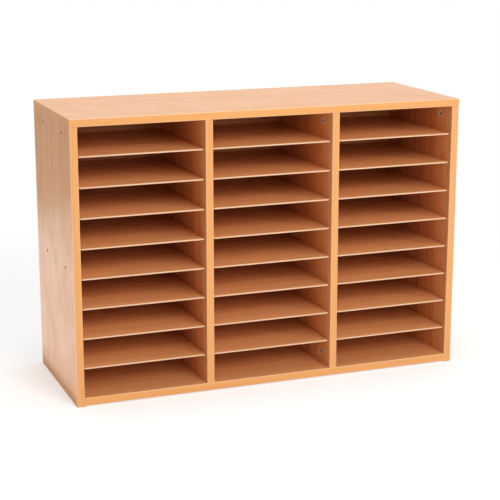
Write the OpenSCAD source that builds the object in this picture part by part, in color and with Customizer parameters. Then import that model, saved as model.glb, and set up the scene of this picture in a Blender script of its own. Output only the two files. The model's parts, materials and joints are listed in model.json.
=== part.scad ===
// Classroom mailbox: a wide low cabinet of open letter slots in three columns.
// Flat-pack construction: edged boards, cam fittings and dowels, a back board in grooves
// and thin loose shelves that rest on pins and pull out forwards.
// Millimetres. X runs to the right, Y to the back, Z up. The origin is at the middle of the underside.

/* [Slots] */
// Clear width of one slot
slot_w = 251; // [200:1:320]
// Clear height of one slot
slot_h = 56; // [45:1:90]
// Clear depth of a slot, from the front edges to the back board
slot_d = 287; // [240:1:340]
// Slots in each column
slot_rows = 9; // [6:1:12]

/* [Boards] */
// Thickness of the case panels
panel_t = 15; // [14:0.5:22]
// Height of the bottom panel's underside above the floor
foot_gap = 2; // [0:0.5:20]
// Thickness of the strips that edge the panels
band_t = 2; // [0.5:0.1:3]
// Radius that eases the strips' outer corners
band_r = 1.5; // [0.3:0.1:2.5]
// Radius of an end strip's lower corner, which lies flush with the side below it
band_joint_r = 0.3; // [0.1:0.1:2.5]

/* [Shelves] */
// Thickness of a shelf
shelf_t = 3; // [2.5:0.1:6]
// Distance of a shelf's front edge behind the front of the case
shelf_setback = 7; // [2:0.5:30]
// Gap between a shelf and the upright at each end of it
shelf_side_gap = 1.5; // [0.5:0.1:3]
// Gap between a shelf and the back board
shelf_back_gap = 1; // [0.5:0.1:5]
// Radius of a shelf's front corners
shelf_corner_r = 3; // [1:0.5:10]

/* [Shelf pins] */
// Diameter of a shelf pin
pin_d = 5; // [4:0.1:7]
// How far a pin stands out of the upright
pin_out = 8; // [5:0.5:15]
// Depth of the flat that is milled along a pin for the shelf to lie on
pin_flat_cut = 0.7; // [0.3:0.1:1.2]
// Distance of the pins from a shelf's front and back edges
pin_inset = 40; // [25:1:80]
// Board left between two pin bores that meet in one divider
pin_web = 2; // [1:0.5:4]

/* [Back board] */
// Thickness of the back board
back_t = 3; // [2.5:0.1:6]
// Distance of the back board in front of the panels' rear edges
back_setback = 8; // [6:0.5:20]
// Depth of the grooves that hold the back board
groove_depth = 6; // [4:0.5:8]
// Nails through the back board into each divider
nail_count = 5; // [2:1:9]
// Distance of the end nails from the top and bottom panels
nail_inset = 45; // [20:1:90]
// Diameter of a nail's shank
nail_d = 1.8; // [1.2:0.1:3]
// Diameter of a nail's head
nail_head_d = 6; // [4:0.1:9]
// Length of a nail below its head
nail_l = 20; // [12:1:35]

/* [Cam fittings] */
// Diameter of a cam
cam_d = 15; // [12:0.5:20]
// Distance of a cam's centre from the joint that it closes
cam_edge = 22; // [20:1:34]
// Board left behind a cam's pocket
cam_skin = 2.5; // [1.5:0.5:5]
// How far a cam's face lies below the face of the board
cam_sink = 0.8; // [0:0.1:1.5]
// Distance of the fittings from the front and rear edges of the case
fitting_inset = 50; // [35:1:90]
// Diameter of a bolt's thread
bolt_thread_d = 5; // [4:0.1:6]
// Board left beyond a bolt's thread
bolt_skin = 4; // [2:0.5:7]
// Diameter of a bolt's shank
bolt_shank_d = 6; // [5.5:0.1:7]
// Diameter of a bolt's neck, which a cam closes on
bolt_neck_d = 3.2; // [2.5:0.1:4]
// Diameter of a bolt's head
bolt_head_d = 6; // [5:0.1:7]

/* [Dowels] */
// Diameter of a dowel
dowel_d = 8; // [6:0.5:10]
// Depth of a dowel in the edge of a panel
dowel_deep = 20; // [14:1:30]
// Depth of a dowel in the face of a panel
dowel_shallow = 10; // [6:0.5:12]
// Distance from a bolt to the dowel beside it
dowel_offset = 64; // [24:1:80]

/* [Joining holes] */
// Diameter of the holes in the outer faces that join units side by side
join_hole_d = 6; // [3:0.1:8]
// Depth of a joining hole
join_hole_depth = 9; // [5:0.5:12]
// Distance of the first joining holes behind the front of the case
join_front = 65; // [30:1:90]
// Distance of the upper joining holes below the top of the case
join_top = 34; // [25:1:60]
// Spacing of the joining holes from front to back
join_pitch_y = 150; // [100:1:160]
// Spacing of the joining holes up the side
join_pitch_z = 262; // [150:1:280]

/* [Clearances] */
// Gap all round a pin, bolt, cam, dowel or nail in its bore
fit_gap = 0.1; // [0.05:0.01:0.3]
// Gap on each face of the back board in its groove
groove_gap = 0.2; // [0.1:0.05:0.5]
// Gap between an end and the bottom of its groove or bore
end_gap = 0.5; // [0.2:0.1:1.5]

/* [Hidden] */
$fn = 48;
COLUMNS = ["left", "middle", "right"];
eps = 0.01;
over = 1;

board_colour = [0.95, 0.79, 0.64];
band_colour = [0.97, 0.70, 0.45];
shelf_colour = [0.93, 0.74, 0.56];
back_colour = [0.76, 0.58, 0.42];
steel_colour = [0.75, 0.76, 0.78];
zinc_colour = [0.62, 0.63, 0.65];
dowel_colour = [0.88, 0.76, 0.58];

// Overall sizes and levels
case_w = 3 * slot_w + 4 * panel_t;
case_d = slot_d + back_t + back_setback;
shelf_pitch = slot_h + shelf_t;
floor_z = foot_gap + panel_t;
top_z = floor_z + slot_rows * shelf_pitch - shelf_t;
case_h = top_z + panel_t;
front_y = -case_d / 2;
rear_y = case_d / 2;
inner_w = case_w - 2 * panel_t;
core_front_y = front_y + band_t;
core_d = case_d - band_t;
column_pitch = slot_w + panel_t;
divider_x = column_pitch / 2;
side_x = 1.5 * column_pitch;

// Edge strips
band_round_max = min(band_t, panel_t / 2) - eps;
band_round = min(band_r, band_round_max);
joint_round = min(band_joint_r, band_round_max);

// Shelves and the pins under them
shelf_front_y = front_y + shelf_setback;
shelf_rear_y = front_y + slot_d - shelf_back_gap;
shelf_w = slot_w - 2 * shelf_side_gap;
shelf_d = shelf_rear_y - shelf_front_y;
pin_in = (panel_t - pin_web) / 2;
pin_flat_z = pin_d / 2 - pin_flat_cut;
pin_tip = 0.8;
pin_ys = [shelf_front_y + pin_inset, shelf_rear_y - pin_inset];

// Back board and its nails
board_front_y = front_y + slot_d;
board_rear_y = board_front_y + back_t;
board_reach = groove_depth - end_gap;
nail_head_t = 1;
nail_span = top_z - floor_z - 2 * nail_inset;

// Cams, bolts and dowels
joint_ys = [front_y + fitting_inset, rear_y - fitting_inset];
dowel_ys = [joint_ys[0] + dowel_offset, joint_ys[1] - dowel_offset];
cam_h = panel_t - cam_skin;
cam_drive_l = 8;
cam_drive_w = 2.2;
cam_drive_depth = 2.5;
cam_play = 0.7;
bolt_head_l = 3;
bolt_chamfer = 0.8;
bolt_bore_d = max(bolt_shank_d, bolt_head_d) + 2 * fit_gap;
bolt_thread_l = panel_t - bolt_skin;
dowel_chamfer = 1;

function shelf_name(column, row) = str("shelf_", column, "_", row);
function column_x(column) = (search([column], COLUMNS)[0] - 1) * column_pitch;
function shelf_z(row) = floor_z + (slot_rows - row) * shelf_pitch - shelf_t;
function nail_z(i) = floor_z + nail_inset + i * nail_span / (nail_count - 1);

// The case is the same on both sides, so the right half is the left half's mirror image.
module both_halves() {
    children();
    mirror([1, 0, 0]) children();
}

// Places for the fittings of the left half. In each, Z points out of the panel that holds the cam
// and into the panel that takes the bolt, and X points out of the face that the cam shows in.
module at_top_joints(x, ys) {
    for (y = ys) translate([x, y, top_z]) children();
}

module at_foot_joints(x, ys) {
    for (y = ys) translate([x, y, floor_z]) mirror([0, 0, 1]) children();
}

module at_end_joints(ys) {
    for (y = ys)
        translate([-inner_w / 2, y, foot_gap + panel_t / 2])
            rotate([0, -90, 0]) rotate([0, 0, 180]) children();
}

// Every joint of the left half
module at_joints(ys) {
    at_top_joints(-side_x, ys) children();
    at_top_joints(-divider_x, ys) children();
    at_foot_joints(-divider_x, ys) children();
    at_end_joints(ys) children();
}

// Every pin on one side of a column, with X pointing out of the upright and into the slot
module at_pins(column, side) {
    for (row = [1 : slot_rows - 1])
        for (y = pin_ys)
            translate([column_x(column) + side * slot_w / 2, y, shelf_z(row) - pin_flat_z])
                mirror([(side + 1) / 2, 0, 0]) children();
}

// Every nail in the left divider, with Z pointing out of the back of the case
module at_nails() {
    for (i = [0 : nail_count - 1])
        translate([-divider_x, board_rear_y, nail_z(i)]) rotate([-90, 0, 0]) children();
}

// The four joining holes of the left side
module at_joining_holes() {
    for (y = [0, join_pitch_y], z = [0, join_pitch_z])
        translate([-case_w / 2, front_y + join_front + y, case_h - join_top - z])
            rotate([0, 90, 0]) children();
}

// Bores for a cam and its bolt in the panel that holds the cam
module cam_bores() {
    translate([0, 0, -cam_edge]) cylinder(d = bolt_bore_d, h = cam_edge + over);
    translate([panel_t / 2 - cam_h, 0, -cam_edge]) rotate([0, 90, 0]) cylinder(d = cam_d, h = cam_h + over);
}

// Bore for the bolt's thread in the panel that takes it
module thread_bore() {
    translate([0, 0, -over]) cylinder(d = bolt_thread_d + 2 * fit_gap, h = bolt_thread_l + over);
}

module dowel_bore(depth) {
    translate([0, 0, -over]) cylinder(d = dowel_d, h = depth + over);
}

// A dowel's bores in the edge of one panel and in the face of the other
module edge_dowel_bore() {
    mirror([0, 0, 1]) dowel_bore(dowel_deep);
}

module face_dowel_bore() {
    dowel_bore(dowel_shallow);
}

module pin_bore() {
    translate([-pin_in, 0, 0]) rotate([0, 90, 0]) cylinder(d = pin_d, h = pin_in + over);
}

module nail_bore() {
    translate([0, 0, -nail_l - end_gap]) cylinder(d = nail_d + 2 * fit_gap, h = nail_l + end_gap + over);
}

// Vertical groove for the back board in the left side's inner face
module side_groove() {
    translate([-inner_w / 2 - groove_depth, board_front_y - groove_gap, -over])
        cube([groove_depth + over, back_t + 2 * groove_gap, case_h + 2 * over]);
}

// Groove for the back board along a level panel, from a height upwards
module level_groove(z) {
    translate([-case_w / 2, board_front_y - groove_gap, z])
        cube([case_w, back_t + 2 * groove_gap, groove_depth + over]);
}

// Left upright board, edged at the front
module left_upright(x, rear, bottom) {
    translate([x - panel_t / 2, core_front_y, bottom]) cube([panel_t, rear - core_front_y, top_z - bottom]);
}

module left_side_board() {
    difference() {
        left_upright(-side_x, rear_y, 0);
        side_groove();
        at_top_joints(-side_x, joint_ys) cam_bores();
        at_top_joints(-side_x, dowel_ys) edge_dowel_bore();
        at_end_joints(joint_ys) thread_bore();
        at_end_joints(dowel_ys) face_dowel_bore();
        at_pins("left", -1) pin_bore();
        at_joining_holes() translate([0, 0, -over]) cylinder(d = join_hole_d, h = join_hole_depth + over);
    }
}

module left_divider_board() {
    difference() {
        left_upright(-divider_x, board_front_y, floor_z);
        at_top_joints(-divider_x, joint_ys) cam_bores();
        at_top_joints(-divider_x, dowel_ys) edge_dowel_bore();
        at_foot_joints(-divider_x, joint_ys) cam_bores();
        at_foot_joints(-divider_x, dowel_ys) edge_dowel_bore();
        at_pins("left", 1) pin_bore();
        at_pins("middle", -1) pin_bore();
        at_nails() nail_bore();
    }
}

module top_panel() {
    color(board_colour)
        difference() {
            translate([-case_w / 2 + band_t, core_front_y, top_z])
                cube([case_w - 2 * band_t, core_d, panel_t]);
            level_groove(top_z - over);
            both_halves()
                for (x = [-side_x, -divider_x]) {
                    at_top_joints(x, joint_ys) thread_bore();
                    at_top_joints(x, dowel_ys) face_dowel_bore();
                }
        }
}

module bottom_panel() {
    color(board_colour)
        difference() {
            translate([-inner_w / 2, core_front_y, foot_gap]) cube([inner_w, core_d, panel_t]);
            level_groove(floor_z - groove_depth);
            both_halves() {
                at_end_joints(joint_ys) cam_bores();
                at_end_joints(dowel_ys) edge_dowel_bore();
                at_foot_joints(-divider_x, joint_ys) thread_bore();
                at_foot_joints(-divider_x, dowel_ys) face_dowel_bore();
            }
        }
}

module left_side() {
    color(board_colour) left_side_board();
}

module right_side() {
    color(board_colour) mirror([1, 0, 0]) left_side_board();
}

module left_divider() {
    color(board_colour) left_divider_board();
}

module right_divider() {
    color(board_colour) mirror([1, 0, 0]) left_divider_board();
}

module back_board() {
    color(back_colour)
        difference() {
            translate([-inner_w / 2 - board_reach, board_front_y, floor_z - board_reach])
                cube([inner_w + 2 * board_reach, back_t, top_z - floor_z + 2 * board_reach]);
            both_halves() at_nails() nail_bore();
        }
}

// What comes off a corner at the origin, in the quarter between +X and +Y, to round it
module corner_waste(r) {
    difference() {
        translate([-over, -over]) square(over + r);
        translate([r, r]) circle(r = r);
    }
}

// Section of an edge strip: X across the panel's edge, with the outer corners eased at -Y,
// the one at -X by a radius of its own
module band_section(left_r = band_round) {
    difference() {
        translate([-panel_t / 2, -band_t]) square([panel_t, band_t]);
        translate([-panel_t / 2, -band_t]) corner_waste(left_r);
        translate([panel_t / 2, -band_t]) mirror([1, 0]) corner_waste(band_round);
    }
}

// Strip on the front edge of an upright
module upright_band(x, bottom) {
    color(band_colour)
        translate([x, core_front_y, bottom]) linear_extrude(top_z - bottom) band_section();
}

// Strip on the front edge of a level panel
module level_band(z, length) {
    color(band_colour)
        translate([-length / 2, core_front_y, z + panel_t / 2])
            rotate([90, 0, 90]) linear_extrude(length) rotate(-90) band_section();
}

// Strip on the left end of the top panel
module end_band() {
    color(band_colour)
        translate([-case_w / 2 + band_t, core_front_y, top_z + panel_t / 2])
            rotate([-90, 0, 0]) linear_extrude(core_d) rotate(-90) band_section(joint_round);
}

module top_front_band() {
    level_band(top_z, case_w);
}

module top_left_band() {
    end_band();
}

module top_right_band() {
    mirror([1, 0, 0]) end_band();
}

module bottom_band() {
    level_band(foot_gap, inner_w);
}

module left_side_band() {
    upright_band(-side_x, 0);
}

module right_side_band() {
    upright_band(side_x, 0);
}

module left_divider_band() {
    upright_band(-divider_x, floor_z);
}

module right_divider_band() {
    upright_band(divider_x, floor_z);
}

// Drum with a mouth that the bolt's head enters by, a slot that closes behind the head as the drum
// turns a quarter, and a cross recess for the screwdriver
module cam() {
    drum_h = cam_h - end_gap - cam_sink;
    face_x = panel_t / 2 - cam_sink;
    mouth_d = bolt_head_d + 2 * cam_play;
    neck_slot = bolt_neck_d + 2 * fit_gap;
    translate([0, 0, -cam_edge])
        difference() {
            translate([face_x - drum_h, 0, 0])
                rotate([0, 90, 0]) cylinder(d = cam_d - 2 * fit_gap, h = drum_h);
            sphere(d = mouth_d);
            rotate([-90, 0, 0]) cylinder(d = mouth_d, h = cam_d);
            translate([-neck_slot / 2, -neck_slot / 2, 0]) cube([neck_slot, cam_d, cam_d]);
            for (turn = [0, 90])
                translate([face_x, 0, 0]) rotate([turn, 0, 0])
                    cube([2 * cam_drive_depth, cam_drive_l, cam_drive_w], center = true);
        }
}

// Turned bolt: thread above the joint, then shank, neck and head down to the cam's centre
module bolt() {
    thread_r = bolt_thread_d / 2;
    thread_end = bolt_thread_l - end_gap;
    shank_r = bolt_shank_d / 2;
    neck_r = bolt_neck_d / 2;
    head_r = bolt_head_d / 2;
    head_top = -cam_edge + bolt_head_l / 2;
    rotate_extrude()
        polygon([
            [0, thread_end],
            [thread_r - bolt_chamfer, thread_end],
            [thread_r, thread_end - bolt_chamfer],
            [thread_r, 0],
            [shank_r, 0],
            [shank_r, -cam_edge + cam_d / 2 + end_gap],
            [neck_r, -cam_edge + cam_d / 2],
            [neck_r, head_top],
            [head_r, head_top - bolt_chamfer],
            [head_r, head_top - bolt_head_l + bolt_chamfer],
            [head_r - bolt_chamfer, head_top - bolt_head_l],
            [0, head_top - bolt_head_l]
        ]);
}

module dowel() {
    dowel_r = dowel_d / 2 - fit_gap;
    low = -dowel_deep + end_gap;
    high = dowel_shallow - end_gap;
    rotate_extrude()
        polygon([
            [0, low],
            [dowel_r - dowel_chamfer, low],
            [dowel_r, low + dowel_chamfer],
            [dowel_r, high - dowel_chamfer],
            [dowel_r - dowel_chamfer, high],
            [0, high]
        ]);
}

// Straight pin with a flat along its top and a tapered tip
module pin() {
    pin_r = pin_d / 2 - fit_gap;
    buried = pin_in - end_gap;
    difference() {
        rotate([0, 90, 0])
            rotate_extrude()
                polygon([
                    [0, -buried],
                    [pin_r, -buried],
                    [pin_r, pin_out - pin_tip],
                    [pin_r - pin_tip, pin_out],
                    [0, pin_out]
                ]);
        translate([-buried - over, -pin_d, pin_flat_z])
            cube([buried + pin_out + 2 * over, 2 * pin_d, pin_d]);
    }
}

module nail() {
    shank_r = nail_d / 2;
    head_r = nail_head_d / 2;
    rotate_extrude()
        polygon([
            [0, -nail_l],
            [shank_r, -nail_l + nail_d],
            [shank_r, 0],
            [head_r, 0],
            [head_r, nail_head_t / 2],
            [head_r - nail_head_t, nail_head_t],
            [0, nail_head_t]
        ]);
}

module cam_locks() {
    color(zinc_colour) both_halves() at_joints(joint_ys) cam();
}

module cam_bolts() {
    color(steel_colour) both_halves() at_joints(joint_ys) bolt();
}

module dowels() {
    color(dowel_colour) both_halves() at_joints(dowel_ys) dowel();
}

module back_nails() {
    color(steel_colour) both_halves() at_nails() nail();
}

module shelf_pins(column) {
    color(steel_colour)
        for (side = [-1, 1]) at_pins(column, side) pin();
}

// Outline of a shelf seen from above, with its front edge on the X axis and rounded front corners
module shelf_outline() {
    corner_x = shelf_w / 2 - shelf_corner_r;
    translate([-shelf_w / 2, shelf_corner_r]) square([shelf_w, shelf_d - shelf_corner_r]);
    translate([-corner_x, 0]) square([2 * corner_x, shelf_d]);
    for (side = [-1, 1]) translate([side * corner_x, shelf_corner_r]) circle(r = shelf_corner_r);
}

module shelf(column, row) {
    color(shelf_colour)
        translate([column_x(column), shelf_front_y, shelf_z(row)]) linear_extrude(shelf_t) shelf_outline();
}

top_panel();
bottom_panel();
left_side();
right_side();
left_divider();
right_divider();
back_board();
top_front_band();
top_left_band();
top_right_band();
bottom_band();
left_side_band();
right_side_band();
left_divider_band();
right_divider_band();
cam_locks();
cam_bolts();
dowels();
back_nails();
for (column = COLUMNS)
    shelf_pins(column);
for (column = COLUMNS)
    for (row = [1 : slot_rows - 1])
        shelf(column, row);
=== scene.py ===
"""Dresses a classroom letter sorter: board finishes, shelves, fittings, stage and camera."""

import json
import math

import bmesh
import bpy
from bpy.props import FloatProperty, FloatVectorProperty, IntProperty, PointerProperty
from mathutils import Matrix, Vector

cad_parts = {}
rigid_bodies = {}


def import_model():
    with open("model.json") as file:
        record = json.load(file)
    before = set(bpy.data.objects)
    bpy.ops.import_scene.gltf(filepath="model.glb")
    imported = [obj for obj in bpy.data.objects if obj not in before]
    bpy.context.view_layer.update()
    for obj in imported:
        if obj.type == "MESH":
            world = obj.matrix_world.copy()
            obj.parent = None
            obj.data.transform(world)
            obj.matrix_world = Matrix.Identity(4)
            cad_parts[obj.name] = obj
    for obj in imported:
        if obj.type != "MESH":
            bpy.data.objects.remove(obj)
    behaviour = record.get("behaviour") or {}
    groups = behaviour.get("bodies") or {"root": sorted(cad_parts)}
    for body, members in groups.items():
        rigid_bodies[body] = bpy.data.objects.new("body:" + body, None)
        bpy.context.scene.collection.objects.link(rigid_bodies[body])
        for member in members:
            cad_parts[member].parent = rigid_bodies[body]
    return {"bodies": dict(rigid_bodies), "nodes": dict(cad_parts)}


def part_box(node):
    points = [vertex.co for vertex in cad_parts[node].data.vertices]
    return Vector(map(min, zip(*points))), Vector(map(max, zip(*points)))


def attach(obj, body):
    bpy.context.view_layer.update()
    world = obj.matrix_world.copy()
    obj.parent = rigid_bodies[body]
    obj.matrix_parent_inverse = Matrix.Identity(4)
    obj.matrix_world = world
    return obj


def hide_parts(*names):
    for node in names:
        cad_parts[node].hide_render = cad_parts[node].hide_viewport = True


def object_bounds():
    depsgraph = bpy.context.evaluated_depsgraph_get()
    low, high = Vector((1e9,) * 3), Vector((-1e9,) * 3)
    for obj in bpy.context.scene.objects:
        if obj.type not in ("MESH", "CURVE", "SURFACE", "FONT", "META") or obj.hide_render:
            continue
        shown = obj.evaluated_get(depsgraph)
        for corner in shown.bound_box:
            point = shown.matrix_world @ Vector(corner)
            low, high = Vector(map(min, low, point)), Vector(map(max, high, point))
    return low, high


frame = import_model()
CAD_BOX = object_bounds()

bl_info = {
    "name": "Classroom Letter Sorter",
    "version": (1, 0, 0),
    "blender": (4, 5, 0),
    "location": "View3D > Sidebar > Sorter",
    "description": "Dresses the boards, shelves and fittings of a classroom letter sorter",
    "category": "Object",
}

CASE_BODY = "case"
AXES = "XYZ"

# Refractive index of the clear film on the finishes, and of the matter film on the upright boards and
# the top's end strips
FILM_INDEX = 1.38
MATT_FILM_INDEX = 1.12

# How much fine detail a pattern holds
SOFT = 1.0
PLAIN = 2.0
FINE = 3.0
FINER = 4.0
FINEST = 5.0

# Size of a worn patch in metres, and levels over which wear and fine grain change a surface's roughness
WEAR_SIZE = 0.05
WEAR_LEVELS = (0.2, 0.8)
GRAIN_LEVELS = (0.25, 0.75)

# How squarely a surface must look along a board's thickness to count as its face
SQUARE_ON = 0.7

# Meshes: reach within which corners merge, steps and least angle of an eased edge, least angle that looks
# sharp, and steps round a shelf's corner
MERGE_DISTANCE = 1e-6
EASE_STEPS = 3
EASE_ANGLE = math.radians(50)
SHARP_ANGLE = math.radians(35)
CORNER_STEPS = 5

# Nails: sides of their round, width of a crown's top against the head, and a point's length in shank radii
NAIL_SIDES = 20
CROWN_TOP = 0.55
POINT_LENGTH = 3.0

# Camera sensor in millimetres
SENSOR_WIDTH = 36.0

# The case boards: each one's thickness runs along the first axis, its grain along the second
CASE_BOARDS = {
    "top_panel": ("Z", "X"),
    "bottom_panel": ("Z", "X"),
    "left_side": ("X", "Z"),
    "right_side": ("X", "Z"),
    "left_divider": ("X", "Z"),
    "right_divider": ("X", "Z"),
}

# The edge strips and the axis that each one runs along
EDGE_STRIPS = {
    "top_front_band": "X",
    "bottom_band": "X",
    "top_left_band": "Y",
    "top_right_band": "Y",
    "left_side_band": "Z",
    "right_side_band": "Z",
    "left_divider_band": "Z",
    "right_divider_band": "Z",
}

# Boards that also have an outer face, which is calmer than the faces inside the case
OUTER_BOARDS = ("top_panel", "left_side", "right_side")

PIN_GROUPS = ("shelf_pins_left", "shelf_pins_middle", "shelf_pins_right")
SHELVES = sorted(name for name in frame["bodies"] if name.startswith("shelf_"))


class SorterFinish(bpy.types.PropertyGroup):
    """Colours and grain of the boards, shelves and metal."""

    beech: FloatVectorProperty(
        name="Beech", description="Ground colour of the printed beech boards",
        subtype="COLOR", size=3, default=(0.90, 0.445, 0.185))
    beech_band: FloatVectorProperty(
        name="Beech band", description="Broad darker bands that run with the grain",
        subtype="COLOR", size=3, default=(0.80, 0.365, 0.14))
    beech_line: FloatVectorProperty(
        name="Beech line", description="Fine dark lines that run with the grain",
        subtype="COLOR", size=3, default=(0.66, 0.28, 0.10))
    beech_streak: FloatVectorProperty(
        name="Beech streak", description="Dark streaks that lie close together in some zones",
        subtype="COLOR", size=3, default=(0.56, 0.225, 0.078))
    beech_fleck: FloatVectorProperty(
        name="Beech fleck", description="Short flecks of the printed grain",
        subtype="COLOR", size=3, default=(0.50, 0.19, 0.062))
    strip: FloatVectorProperty(
        name="Edge strip", description="Ground colour of the edge strips",
        subtype="COLOR", size=3, default=(0.90, 0.42, 0.14))
    strip_streak: FloatVectorProperty(
        name="Edge strip streak", description="Faint streaks along the edge strips",
        subtype="COLOR", size=3, default=(0.80, 0.34, 0.105))
    # Painted highlight on the strips' rounded corners, partly also their paler trimmed edge
    strip_arris_highlight: FloatVectorProperty(
        name="Edge strip arris", description="Paler trimmed corners of the edge strips",
        subtype="COLOR", size=3, default=(0.97, 0.64, 0.38))
    shelf_edge: FloatVectorProperty(
        name="Shelf edge", description="Pale cut edge of the thin shelves",
        subtype="COLOR", size=3, default=(0.88, 0.60, 0.40))
    chip_pale: FloatVectorProperty(
        name="Pale chip", description="Pale chips in the bare chipboard edges",
        subtype="COLOR", size=3, default=(0.74, 0.50, 0.28))
    chip_dark: FloatVectorProperty(
        name="Dark chip", description="Dark chips in the bare chipboard edges",
        subtype="COLOR", size=3, default=(0.40, 0.20, 0.09))
    chip_dust: FloatVectorProperty(
        name="Chip dust", description="Fine dense layers under the printed faces",
        subtype="COLOR", size=3, default=(0.57, 0.34, 0.17))
    # Painted shade: the near-black colour on the walls of the holes in the outer faces
    bore_shade: FloatVectorProperty(
        name="Bore", description="Dark lining of the holes in the outer faces",
        subtype="COLOR", size=3, default=(0.07, 0.03, 0.012))
    fibre: FloatVectorProperty(
        name="Fibreboard", description="Bare brown rear of the back board",
        subtype="COLOR", size=3, default=(0.26, 0.125, 0.055))
    fibre_pale: FloatVectorProperty(
        name="Pale fibre", description="Lighter fibres in the bare back board",
        subtype="COLOR", size=3, default=(0.40, 0.22, 0.11))
    zinc: FloatVectorProperty(
        name="Cast zinc", description="Colour of the cam locks",
        subtype="COLOR", size=3, default=(0.96, 0.90, 0.81))
    # Painted shade: the near-black colour laid into the cam locks' recesses
    recess_shade: FloatVectorProperty(
        name="Grime", description="Dark dust and grease in the cam locks' recesses",
        subtype="COLOR", size=3, default=(0.03, 0.022, 0.016))
    # How far from a recess's walls the painted shade reaches
    recess_shade_reach: FloatProperty(
        name="Grime reach", description="How far from a recess's walls the grime lies",
        subtype="DISTANCE", unit="LENGTH", default=0.004)
    steel: FloatVectorProperty(
        name="Plated steel", description="Colour of the pins, bolts and nails",
        subtype="COLOR", size=3, default=(0.62, 0.61, 0.59))
    dowel: FloatVectorProperty(
        name="Dowel", description="Pale wood of the dowels",
        subtype="COLOR", size=3, default=(0.68, 0.48, 0.28))
    band_width: FloatProperty(
        name="Band width", description="Width of the broad bands in the grain",
        subtype="DISTANCE", unit="LENGTH", default=0.018)
    line_width: FloatProperty(
        name="Line width", description="Width of the fine lines in the grain",
        subtype="DISTANCE", unit="LENGTH", default=0.0016)
    streak_width: FloatProperty(
        name="Streak width", description="Width of the dark streaks in the grain",
        subtype="DISTANCE", unit="LENGTH", default=0.005)
    zone_width: FloatProperty(
        name="Zone width", description="Width of a zone of streaks across the grain",
        subtype="DISTANCE", unit="LENGTH", default=0.07)
    streaks_inside: FloatProperty(
        name="Streaks inside", description="Strength of the streaks on the faces inside the case",
        subtype="FACTOR", min=0.0, max=1.0, default=0.6)
    streaks_outside: FloatProperty(
        name="Streaks outside", description="Strength of the streaks on the outer faces and the shelves",
        subtype="FACTOR", min=0.0, max=1.0, default=0.22)
    fleck_width: FloatProperty(
        name="Fleck width", description="Width of a fleck across the grain",
        subtype="DISTANCE", unit="LENGTH", default=0.0006)
    fleck_length: FloatProperty(
        name="Fleck length", description="Length of a fleck along the grain",
        subtype="DISTANCE", unit="LENGTH", default=0.0045)
    chip_size: FloatProperty(
        name="Chip size", description="Size of the chips in the bare edges",
        subtype="DISTANCE", unit="LENGTH", default=0.0016)
    core_depth: FloatProperty(
        name="Core depth", description="Half the thickness of a chipboard's coarse core",
        subtype="DISTANCE", unit="LENGTH", default=0.0052)
    foil_depth: FloatProperty(
        name="Foil depth", description="Thickness of the printed face on a board",
        subtype="DISTANCE", unit="LENGTH", default=0.0004)
    edge_depth: FloatProperty(
        name="Edge depth", description="How far in from its outline a board counts as its cut edge",
        subtype="DISTANCE", unit="LENGTH", default=0.002)
    gloss: FloatProperty(
        name="Board roughness", description="Roughness of the satin board faces",
        subtype="FACTOR", min=0.0, max=1.0, default=0.32)


class SorterFittings(bpy.types.PropertyGroup):
    """Sizes of what is made here rather than carried over."""

    shelf_ease: FloatProperty(
        name="Shelf ease", description="Rounding of a shelf's sharp edges",
        subtype="DISTANCE", unit="LENGTH", default=0.0006)
    shelf_corner: FloatProperty(
        name="Shelf corner", description="Radius of a shelf's front corners seen from above",
        subtype="DISTANCE", unit="LENGTH", default=0.003)
    pin_ease: FloatProperty(
        name="Pin ease", description="Rounding of a shelf pin's tip",
        subtype="DISTANCE", unit="LENGTH", default=0.0006)
    pin_sides: IntProperty(
        name="Pin sides", description="Sides of a shelf pin's round",
        min=8, max=64, default=24)
    nail_shank: FloatProperty(
        name="Nail shank", description="Thickness of a nail's shank",
        subtype="DISTANCE", unit="LENGTH", default=0.0018)
    nail_crown: FloatProperty(
        name="Nail crown", description="Share of a nail head's height that is domed",
        subtype="FACTOR", min=0.1, max=0.9, default=0.6)


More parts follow.
